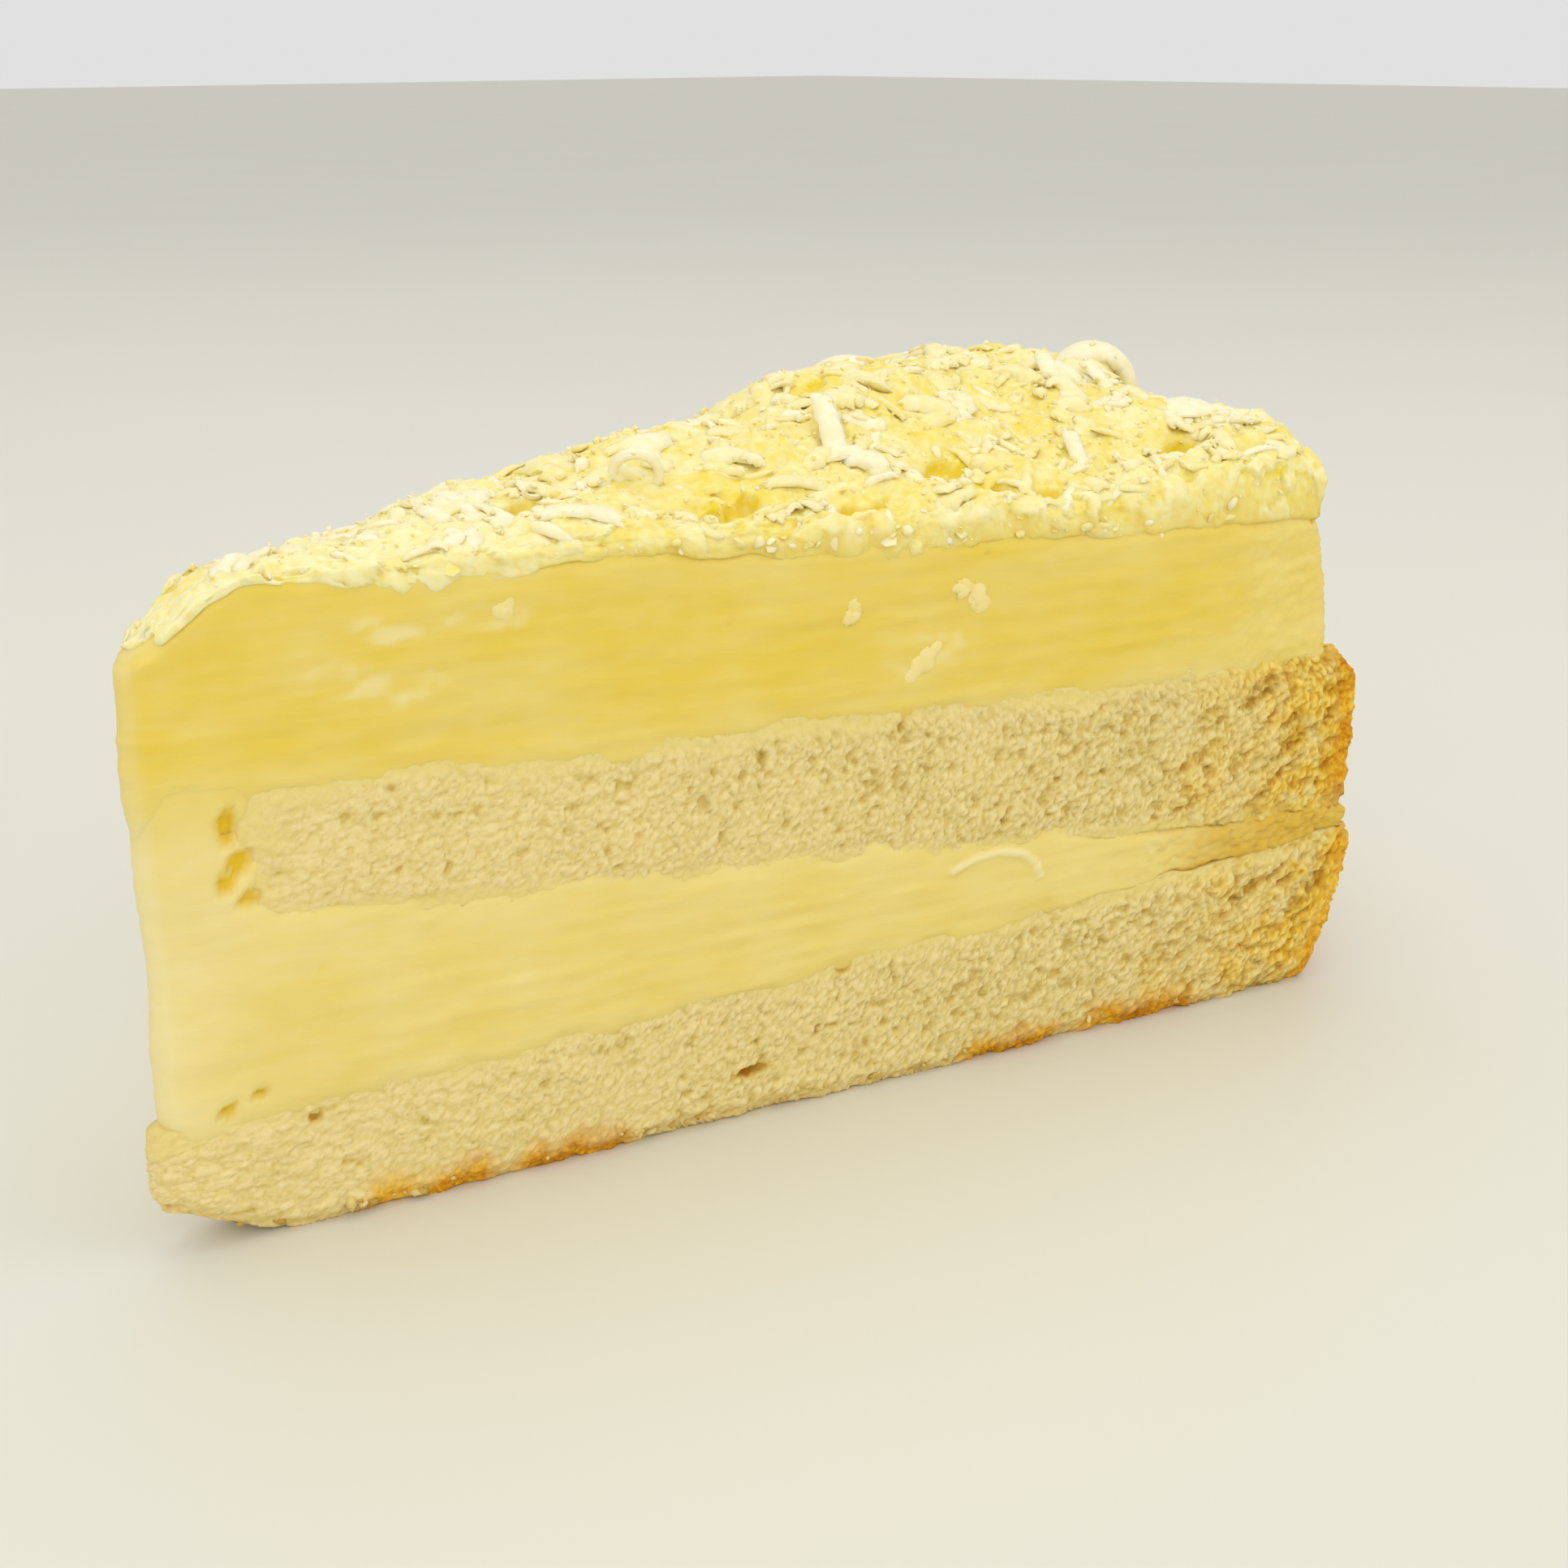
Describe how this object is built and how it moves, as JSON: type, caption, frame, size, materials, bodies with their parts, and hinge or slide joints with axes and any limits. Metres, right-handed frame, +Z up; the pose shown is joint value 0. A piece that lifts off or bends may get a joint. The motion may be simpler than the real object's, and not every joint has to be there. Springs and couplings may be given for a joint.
{
  "type": "lemon cake slice",
  "caption": "Wedge of lemon layer cake: sponge and lemon cream in turn, a browned rim, and white chocolate shavings heaped on top.",
  "frame": {"origin": "on the resting face, below the middle of the slice's bounding box", "axes": "+X from the tip to the browned rim, along the slice's middle; +Z up; the cut face that the picture shows is on the -Y side"},
  "size_m": [0.1237, 0.0671, 0.0627],
  "materials": {
    "sponge": null,
    "cream": null,
    "shavings": null
  },
  "bodies": {
    "root": {"base_sponge": "sponge", "filling_cream": "cream", "upper_sponge": "sponge", "top_cream": "cream", "shaving_heap": "shavings"}
  },
  "joints": []
}
